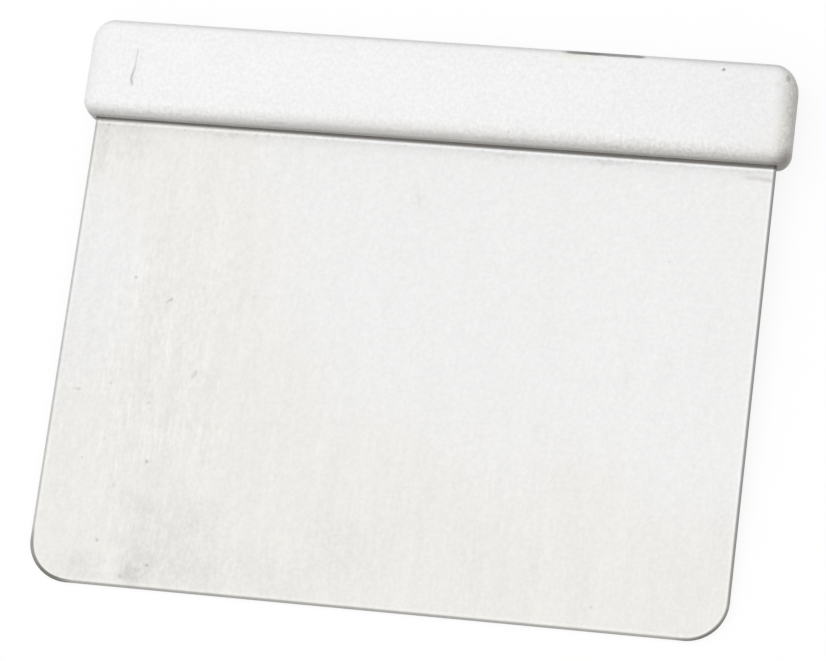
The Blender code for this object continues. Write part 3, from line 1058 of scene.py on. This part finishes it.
def handle_finish():
    """White moulded plastic with a fine texture, with grime and painted shade where it meets the blade, and
    painted light and shade on its ends and along its top edge.
    """
    material, tree, shader, place, (x, v, w) = new_finish("moulded_white_plastic")
    turned = add(tree, "CombineXYZ", {0: v, 1: x, 2: w}).outputs[0]
    off_middle = maths(tree, "ABSOLUTE", w)
    texture = use(tree, GRAIN, place=place, **PLASTIC_TEXTURE)
    clouds = use(tree, PATCHES, place=place, **PLASTIC_CLOUDS)
    mouth_shade = fall(tree, v, *MOUTH_SHADE)
    grimy_shaded_end = rise(tree, x, *GRIMY_SHADED_END)
    sandy = product(tree, texture, maths(tree, "MAXIMUM", mouth_shade, grimy_shaded_end))

    tone = plastic_tone(tree, x, v, texture, sandy, clouds, mouth_shade)
    colour = vectors(tree, "MULTIPLY", PLASTIC_WHITE, tone)
    # Painted shade: a warm tint over the mouth's rounding, weaker to the left.
    warm_mouth_shade = product(tree, mouth_shade, rise(tree, x, *LEFT_HALF, 0.2, 1.0))
    colour = lay_over(tree, colour, warm_mouth_shade, 0.5, PLASTIC_WARM_SHADE)
    # Painted shade along the mouth's rounding, patchy along the handle.
    rounding_shade = product(tree, use(tree, BAND, value=off_middle, **ROUNDED), mouth_shade)
    colour = lay_over(tree, colour, rounding_shade, total(tree, 0.08, (clouds, 0.08)), PLASTIC_GRIME_AND_SHADE)
    colour = lay_end_shade_and_grime(tree, colour, place, turned, x, sandy, grimy_shaded_end)
    colour = lay_handle_marks(tree, colour, place, turned, x, v, w)
    colour = lay_mouth_shade_and_grime(tree, colour, v, off_middle, clouds)

    tree.links.new(colour, shader.inputs["Base Color"])
    tree.links.new(rise(tree, texture, -0.4, 0.4, *PLASTIC_ROUGHNESS), shader.inputs["Roughness"])
    add_relief(tree, shader, texture, distance=0.008, strength=0.5)
    shader.inputs["IOR"].default_value = PLASTIC_IOR
    return material


# Light, floor and camera

CAMERA_PLACE = (0.14606, -0.25057, 0.7509)
CAMERA_TURN = (19.425993, 8.347249, 7.774423)
CAMERA_LENS = 169.72
SENSOR_WIDTH = 36

SKY_FLAT = 0.1

# Brighter parts of the room: degrees round from +X, degrees up, narrowness, strength
SKY_LOBES = (
    (0, 90, 3.0, 1.56),
    (-90, 35, 3.0, 0.47),
)
KEY_WAY = (172, 40)
KEY_DISTANCE = 1.2
KEY_RADIUS = 0.56
KEY_RADIANCE = 1.4
FLOOR_SIZE = 6.0
FLOOR_SQUARES = 8
FLOOR_SHOWN = 0.13
FLOOR_BOUNCE = 0.3


def way(azimuth, elevation):
    """A direction from the scraper, from degrees round from +X and degrees up from the bench."""
    round_turn, up = math.radians(azimuth), math.radians(elevation)
    return Vector((math.cos(up) * math.cos(round_turn), math.cos(up) * math.sin(round_turn), math.sin(up)))


def seen_white(tree):
    """1 for what the camera sees, straight or in the steel, and 0 for light that falls on the scraper."""
    path = add(tree, "LightPath", {}).outputs
    mirrored = maths(tree, "MAXIMUM", path["Is Glossy Ray"], path["Is Transmission Ray"])
    first = maths(tree, "LESS_THAN", path["Diffuse Depth"], 0.5)
    return maths(tree, "MAXIMUM", path["Is Camera Ray"], product(tree, mirrored, first))


def build_world():
    """A white room whose light comes softly from above and from the front."""
    world = bpy.data.worlds.new("white_room")
    bpy.context.scene.world = world
    world.use_nodes = True
    world.cycles.sampling_method = "NONE"
    tree = world.node_tree
    direction = add(tree, "TexCoord", {}).outputs["Generated"]
    light = SKY_FLAT
    for azimuth, elevation, narrowness, strength in SKY_LOBES:
        facing = vectors(tree, "DOT_PRODUCT", direction, way(azimuth, elevation))
        lobe = maths(tree, "POWER", maths(tree, "MAXIMUM", facing, 0.0), narrowness)
        light = total(tree, light, (lobe, strength))
    seen = seen_white(tree)
    strength = add(tree, "Mix", {0: seen, 2: light, 3: 1.0}, data_type="FLOAT").outputs[0]
    background = tree.nodes["Background"]
    background.inputs["Color"].default_value = (1, 1, 1, 1)
    tree.links.new(strength, background.inputs["Strength"])


def build_key_lamp():
    """A round softbox at the left, with the power that gives its disc the radiance."""
    data = bpy.data.lights.new("softbox", "AREA")
    data.shape = "DISK"
    data.size = 2 * KEY_RADIUS
    data.energy = KEY_RADIANCE * math.pi * math.pi * KEY_RADIUS**2
    lamp = new_object("softbox", data)
    lamp.location = way(*KEY_WAY) * KEY_DISTANCE
    lamp.rotation_euler = way(*KEY_WAY).to_track_quat("Z", "Y").to_euler()
    lamp.visible_camera = False
    lamp.visible_glossy = False


def floor_finish():
    """Shown white with the scraper's shadow on it, and pale grey to the light that it sends back up."""
    material = bpy.data.materials.new("pale_floor")
    material.use_nodes = True
    material.cycles.emission_sampling = "NONE"
    tree = material.node_tree
    tree.nodes.remove(tree.nodes["Principled BSDF"])
    shown = (FLOOR_SHOWN, FLOOR_SHOWN, FLOOR_SHOWN, 1)
    lift = (1 - FLOOR_SHOWN, 1 - FLOOR_SHOWN, 1 - FLOOR_SHOWN, 1)
    bounce = (FLOOR_BOUNCE, FLOOR_BOUNCE, FLOOR_BOUNCE, 1)
    white = add(tree, "AddShader", {
        0: add(tree, "BsdfDiffuse", {"Color": shown}).outputs[0],
        1: add(tree, "Emission", {"Color": lift}).outputs[0],
    }).outputs[0]
    grey = add(tree, "BsdfDiffuse", {"Color": bounce}).outputs[0]
    mixed = add(tree, "MixShader", {0: seen_white(tree), 1: grey, 2: white}).outputs[0]
    tree.links.new(mixed, tree.nodes["Material Output"].inputs["Surface"])
    return material


def build_floor():
    work = bmesh.new()
    bmesh.ops.create_grid(work, x_segments=FLOOR_SQUARES, y_segments=FLOOR_SQUARES, size=FLOOR_SIZE / 2)
    mesh = finished_mesh("floor", work)
    mesh.materials.append(floor_finish())
    floor = new_object("floor", mesh)


def build_camera():
    data = bpy.data.cameras.new("camera")
    data.lens = CAMERA_LENS
    data.sensor_width = SENSOR_WIDTH
    camera = new_object("camera", data)
    camera.location = CAMERA_PLACE
    camera.rotation_euler = Euler([math.radians(turn) for turn in CAMERA_TURN])
    bpy.context.scene.camera = camera


build_blade(sheet_finish(), cut_edge_finish())
build_handle(handle_finish())
build_floor()
build_world()
build_key_lamp()
build_camera()
bpy.context.scene.view_settings.view_transform = "Standard"
